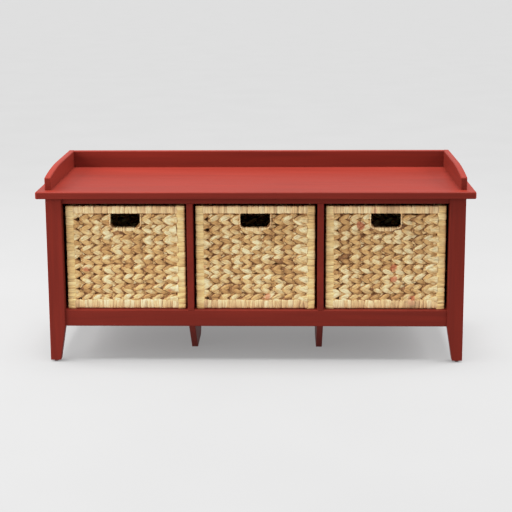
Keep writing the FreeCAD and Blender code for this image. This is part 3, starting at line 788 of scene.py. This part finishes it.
def side_weaves(name, sizes, rng):
    """The two plaited side walls."""
    low, high = sizes["low"], sizes["high"]
    width = high.y - low.y - 2 * POST_WIDTH
    inset = WEAVE_SETBACK + WEAVE_DEPTH / 2
    walls = (wall_frame((low.x + inset, high.y - POST_WIDTH, 0.0), (0, -1, 0), (0, 0, 1)),
             wall_frame((high.x - inset, low.y + POST_WIDTH, 0.0), (0, 1, 0), (0, 0, 1)))
    bm = straw_bmesh()
    for wall in walls:
        plaited_rows(bm, wall, width, row_lines(sizes), rng)
    new_piece(f"{name}_plaited_sides", bm, braid, name, [f"{name}_side_weaves"])


def base_weave(name, rng):
    """The plaited base, its rows evenly spaced from front to back."""
    low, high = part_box(f"{name}_base_weave")
    width = high.x - low.x
    depth = high.y - low.y
    rows = int(depth / ROW_STEP)
    step = depth / rows
    lines = [step * (row + 0.5) for row in range(rows)]
    origin = (low.x, low.y, (low.z + high.z) / 2)
    bm = straw_bmesh()
    plaited_rows(bm, wall_frame(origin, (1, 0, 0), (0, 1, 0)), width, lines, rng)
    new_piece(f"{name}_plaited_base", bm, braid, name, [f"{name}_base_weave"])


# ---- wrapped bars ----

def strip_lines(length, strips, rng):
    """Where the wrapped strips begin and end along a bar."""
    narrow, wide = strips
    lines = [0.0]
    while lines[-1] < length - wide:
        lines.append(lines[-1] + rng.uniform(narrow, wide))
    lines.append(length)
    return lines


def ring_places(lines):
    """Where a bar's rings lie: each strip's groove, its first lip, its middle and its last lip."""
    places = []
    for start, end in zip(lines, lines[1:]):
        lip = min(STRIP_EDGE, (end - start) / 4)
        places += [start, start + lip, (start + end) / 2, end - lip]
    return places + [lines[-1]]


def edges_along_x(bm):
    """The edges that run the whole length of a bar of length 1."""
    return [e for e in bm.edges if abs(e.verts[0].co.x - e.verts[1].co.x) > 0.5]


def ringed_bar(high, deep, radius, rings):
    """A bar of length 1 along X, its long edges rounded, cut into even rings."""
    bar = straw_bmesh()
    bmesh.ops.create_cube(bar, size=1.0, matrix=Matrix.Translation((0.5, 0, 0)))
    bmesh.ops.scale(bar, vec=(1.0, high, deep), verts=bar.verts)
    bmesh.ops.bevel(bar, geom=edges_along_x(bar), offset=radius, offset_type="OFFSET",
                    segments=WRAP_BEVEL_SEGMENTS, profile=0.5, affect="EDGES", material=-1)
    bmesh.ops.subdivide_edges(bar, edges=edges_along_x(bar), cuts=rings - 1)
    return bar


def wrapped_bar(bm, frame_of_bar, length, high, deep, strip_widths, rng, radius=WRAP_RADIUS,
                bend=None, lip_shade=LIP_SHADE):
    """Adds a bar along X of its frame, wrapped in flat strips with a groove between each two, and
    painted shade on the lips beside each groove.
    """
    lines = strip_lines(length, strip_widths, rng)
    places = ring_places(lines)
    strips = len(lines) - 1
    rings = strips * RINGS_PER_STRIP
    bar = ringed_bar(high, deep, radius, rings)
    tone, fibre = straw_layers(bar)
    sinks = [rng.uniform(0.0, STRIP_SINK) for _ in range(strips + 1)]
    grooves = [STRIP_GROOVE * rng.choice(GROOVE_DEPTHS) for _ in range(strips + 1)]
    slants = [rng.gauss(0.0, STRIP_SLANT) for _ in range(strips + 1)]
    tones = strip_tones(strips + 1, rng)
    shift = fibre_shift(rng, 2)
    # Painted shade: faces on each strip's first and last ring, beside the grooves, are darker
    for face in bar.faces:
        step = int(face.calc_center_median().x * rings + 1e-6)
        on_lip = step % RINGS_PER_STRIP in (0, RINGS_PER_STRIP - 1)
        face[tone] = tones[min(step // RINGS_PER_STRIP, strips)] - (lip_shade if on_lip else 0.0)
    for v in bar.verts:
        step = int(round(v.co.x * rings))
        strip, ring = min(step // RINGS_PER_STRIP, strips), step % RINGS_PER_STRIP
        if ring == 0:
            sink = grooves[strip]
        else:
            sink = (STRIP_CROWN, 0.0, STRIP_CROWN)[ring - 1] + sinks[strip]
        v.co.y *= 1.0 - sink / (high / 2)
        v.co.z *= 1.0 - sink / (deep / 2)
        v.co.x = places[step]
        if not bend and 0 < step < rings:
            v.co.x += slants[strip] * v.co.y
        v[fibre] = Vector((v.co.y + v.co.z, v.co.x, 0.0)) + shift
    if bend:
        for v in bar.verts:
            v.co = bend(v.co)
    bmesh.ops.transform(bar, matrix=frame_of_bar, verts=bar.verts)
    joined_into(bm, bar)


def corner_posts(name, sizes, rng):
    """The four corner posts, wrapped from bottom to top."""
    low, high = sizes["low"], sizes["high"]
    half = POST_WIDTH / 2
    bm = straw_bmesh()
    for x in (low.x + half, high.x - half):
        for y in (low.y + half, high.y - half):
            frame_of_bar = wall_frame((x, y, low.z), (0, 0, 1), (1, 0, 0))
            wrapped_bar(bm, frame_of_bar, high.z - low.z, POST_WIDTH, POST_WIDTH, POST_STRIPS, rng,
                        lip_shade=POST_LIP_SHADE)
    new_piece(f"{name}_wrapped_posts", bm, post_wrap, name, [f"{name}_corner_posts"])


def wrapped_rim(name, sizes, rim, bottom, top, strip_widths, rng):
    """The four bars of a rim, wrapped between the posts."""
    low, high = sizes["low"], sizes["high"]
    half, level, rise = WRAP_DEPTH / 2, (bottom + top) / 2, top - bottom
    inset = POST_WIDTH - RIM_LAP
    bm = straw_bmesh()
    for y in (low.y + half, high.y - half):
        frame_of_bar = wall_frame((low.x + inset, y, level), (1, 0, 0), (0, 0, 1))
        wrapped_bar(bm, frame_of_bar, high.x - low.x - 2 * inset, rise, WRAP_DEPTH, strip_widths, rng)
    for x in (low.x + half, high.x - half):
        frame_of_bar = wall_frame((x, low.y + inset, level), (0, 1, 0), (0, 0, 1))
        wrapped_bar(bm, frame_of_bar, high.y - low.y - 2 * inset, rise, WRAP_DEPTH, strip_widths, rng)
    new_piece(f"{name}_wrapped_{rim}", bm, rim_wrap, name, [f"{name}_{rim}"])


def round_hand_hole(place):
    """Bends a straight bar, run along X, round the two sides and the foot of the hand hole."""
    run, out, depth = place.x, place.y, place.z
    if run < BOUND_SIDE + BEND_ARC + BOUND_FOOT / 2:
        mirror = -1.0
    else:
        run = 2 * (BOUND_SIDE + BEND_ARC) + BOUND_FOOT - run
        mirror = 1.0
    if run < BOUND_SIDE:
        x, y = HOLE_HALF_WIDTH + BINDING / 2 + out, -run
    elif run < BOUND_SIDE + BEND_ARC:
        angle = (run - BOUND_SIDE) / BEND_RADIUS
        reach = BEND_RADIUS + out
        x, y = BOUND_CORNER + reach * math.cos(angle), -BOUND_SIDE - reach * math.sin(angle)
    else:
        past_bend = run - BOUND_SIDE - BEND_ARC
        if out > 0:
            out += min(1.0, past_bend / (BOUND_FOOT / 4)) * (LOWER_BINDING - BINDING)
        x, y = BOUND_CORNER - past_bend, -BOUND_SIDE - BEND_RADIUS - out
    return Vector((mirror * x, y, depth))


def hand_hole_binding(name, sizes, rng):
    """The bound edge of the hand hole, broader along its foot."""
    low, high = sizes["low"], sizes["high"]
    origin = ((low.x + high.x) / 2, low.y + WRAP_DEPTH / 2, sizes["rim_under"])
    bm = straw_bmesh()
    wrapped_bar(bm, wall_frame(origin, (1, 0, 0), (0, 0, 1)), BOUND_LENGTH, BINDING, BINDING_DEPTH,
                BINDING_STRIPS, rng, radius=BINDING_RADIUS, bend=round_hand_hole)
    new_piece(f"{name}_bound_hand_hole", bm, rim_wrap, name, [f"{name}_handle_binding"])


for order, name in enumerate(("basket_left", "basket_centre", "basket_right")):
    rng = random.Random(BASKET_SEED + order)
    sizes = basket_sizes(name)
    front_weave(name, sizes, rng)
    back_weave(name, sizes, rng)
    side_weaves(name, sizes, rng)
    base_weave(name, rng)
    corner_posts(name, sizes, rng)
    wrapped_rim(name, sizes, "top_rim", sizes["rim_under"], sizes["high"].z, TOP_RIM_STRIPS, rng)
    wrapped_rim(name, sizes, "bottom_rim", sizes["low"].z, sizes["rim_over"], BOTTOM_RIM_STRIPS, rng)
    hand_hole_binding(name, sizes, rng)
bpy.data.meshes.remove(STRAND)
bpy.data.meshes.remove(WEDGE)


# ---- floor, light and camera ----

WHITE = (1.0, 1.0, 1.0)
FLOOR_HALF_SIZE = 60.0
FLOOR_GREYS = ((0.18, 0.18, 0.18), (0.19, 0.19, 0.19))
FLOOR_NOISE_SCALE = 3.0
FLOOR_ROUGHNESS = 0.9
FLOOR_SPECULAR = 0.1
FLOOR_GLOW = 0.25

SURROUND_STRENGTH = 0.68
OVERHEAD_STRENGTH = 7.0
OVERHEAD_ANGLE = 34
OVERHEAD_PLACE = (0.0, 0.0, 3.0)
OVERHEAD_AIM = (0.0, 0.04, 0.0)
# Each softbox's name, power in watts, side and place
SOFTBOXES = (("left_softbox", 76.0, 1.3, (-2.1, -0.05, 1.2)),
             ("right_softbox", 68.0, 1.3, (2.1, 0.1, 1.2)),
             ("front_softbox", 21.5, 1.2, (-1.8, -1.5, 1.05)))
SOFTBOX_AIM = (0.0, 0.0, 0.3)

# The camera's turns are in radians, its sensor and lens in millimetres
CAMERA_PLACE = (0.07935, -3.28968, 1.00698)
CAMERA_YAW = 0.02474
CAMERA_PITCH = 0.19118
CAMERA_ROLL = -0.00506
SENSOR_WIDTH = 36.0
LENS_LENGTH = 89.53
LENS_SHIFT = -0.10

# The curve's white level, and the light and shown value of each place on it
BRIGHTEST = 3.0
ROLL_OFF = ((0.50, 0.50), (0.70, 0.675), (0.90, 0.79), (1.20, 0.89), (1.70, 0.965))


def pale_floor():
    """A wide pale floor that glows a little, so that it stays pale in the shade."""
    bm = bmesh.new()
    bmesh.ops.create_grid(bm, x_segments=4, y_segments=4, size=FLOOR_HALF_SIZE)
    mesh = finished_mesh("floor", bm)
    material, tree, shader, place = new_material("pale_floor")
    value = spread(tree, noise(tree, place, FLOOR_NOISE_SCALE, detail=2.0), *NOISE_RANGE)
    tree.links.new(mixed(tree, value, *FLOOR_GREYS), shader.inputs["Base Color"])
    shader.inputs["Roughness"].default_value = FLOOR_ROUGHNESS
    shader.inputs["Specular IOR Level"].default_value = FLOOR_SPECULAR
    shader.inputs["Emission Color"].default_value = (*WHITE, 1.0)
    shader.inputs["Emission Strength"].default_value = FLOOR_GLOW
    mesh.materials.append(material)
    floor = bpy.data.objects.new("floor", mesh)
    bpy.context.scene.collection.objects.link(floor)


def hang_light(lamp, place, aim):
    """Hangs a lamp at a place, facing what it lights, and gives its holder."""
    holder = bpy.data.objects.new(lamp.name, lamp)
    holder.rotation_euler = (Vector(aim) - Vector(place)).to_track_quat("-Z", "Y").to_euler()
    holder.location = place
    bpy.context.scene.collection.objects.link(holder)
    return holder


def soft_light():
    """A pale surround, a wide lamp overhead, a softbox at each side and a weaker one in front.

    The softboxes leave no glare of their own on the paint."""
    world = bpy.data.worlds.new("studio")
    bpy.context.scene.world = world
    world.use_nodes = True
    surround = world.node_tree.nodes["Background"]
    surround.inputs["Color"].default_value = (*WHITE, 1.0)
    surround.inputs["Strength"].default_value = SURROUND_STRENGTH
    overhead = bpy.data.lights.new("overhead", "SUN")
    overhead.energy = OVERHEAD_STRENGTH
    overhead.angle = math.radians(OVERHEAD_ANGLE)
    hang_light(overhead, OVERHEAD_PLACE, OVERHEAD_AIM)
    for label, power, side, place in SOFTBOXES:
        softbox = bpy.data.lights.new(label, "AREA")
        softbox.shape = "RECTANGLE"
        softbox.size, softbox.size_y = side, side
        softbox.energy = power
        hang_light(softbox, place, SOFTBOX_AIM).visible_glossy = False


def photo_camera():
    """A camera at the photograph's height, distance and slight turn."""
    turn = Matrix.Rotation(CAMERA_YAW, 3, "Z")
    forward = turn @ Vector((0.0, math.cos(CAMERA_PITCH), -math.sin(CAMERA_PITCH)))
    right = turn @ Vector((1.0, 0.0, 0.0))
    up = right.cross(forward)
    cosine, sine = math.cos(CAMERA_ROLL), math.sin(CAMERA_ROLL)
    right, up = right * cosine + up * sine, up * cosine - right * sine
    lens = bpy.data.cameras.new("camera")
    lens.sensor_width = SENSOR_WIDTH
    lens.lens = LENS_LENGTH
    lens.shift_y = LENS_SHIFT
    camera = bpy.data.objects.new("camera", lens)
    basis = Matrix((right, up, -forward)).transposed().to_4x4()
    camera.matrix_world = Matrix.Translation(CAMERA_PLACE) @ basis
    bpy.context.scene.collection.objects.link(camera)
    bpy.context.scene.camera = camera


def soft_highlights():
    """A plain picture whose brightest places roll off instead of clipping."""
    view = bpy.context.scene.view_settings
    view.view_transform = "Standard"
    view.use_curve_mapping = True
    mapping = view.curve_mapping
    mapping.white_level = (BRIGHTEST, BRIGHTEST, BRIGHTEST)
    points = mapping.curves[3].points
    for light, shown in ROLL_OFF:
        points.new(light / BRIGHTEST, shown)
    for point in points:
        point.handle_type = "VECTOR"
    mapping.update()


pale_floor()
soft_light()
photo_camera()
soft_highlights()
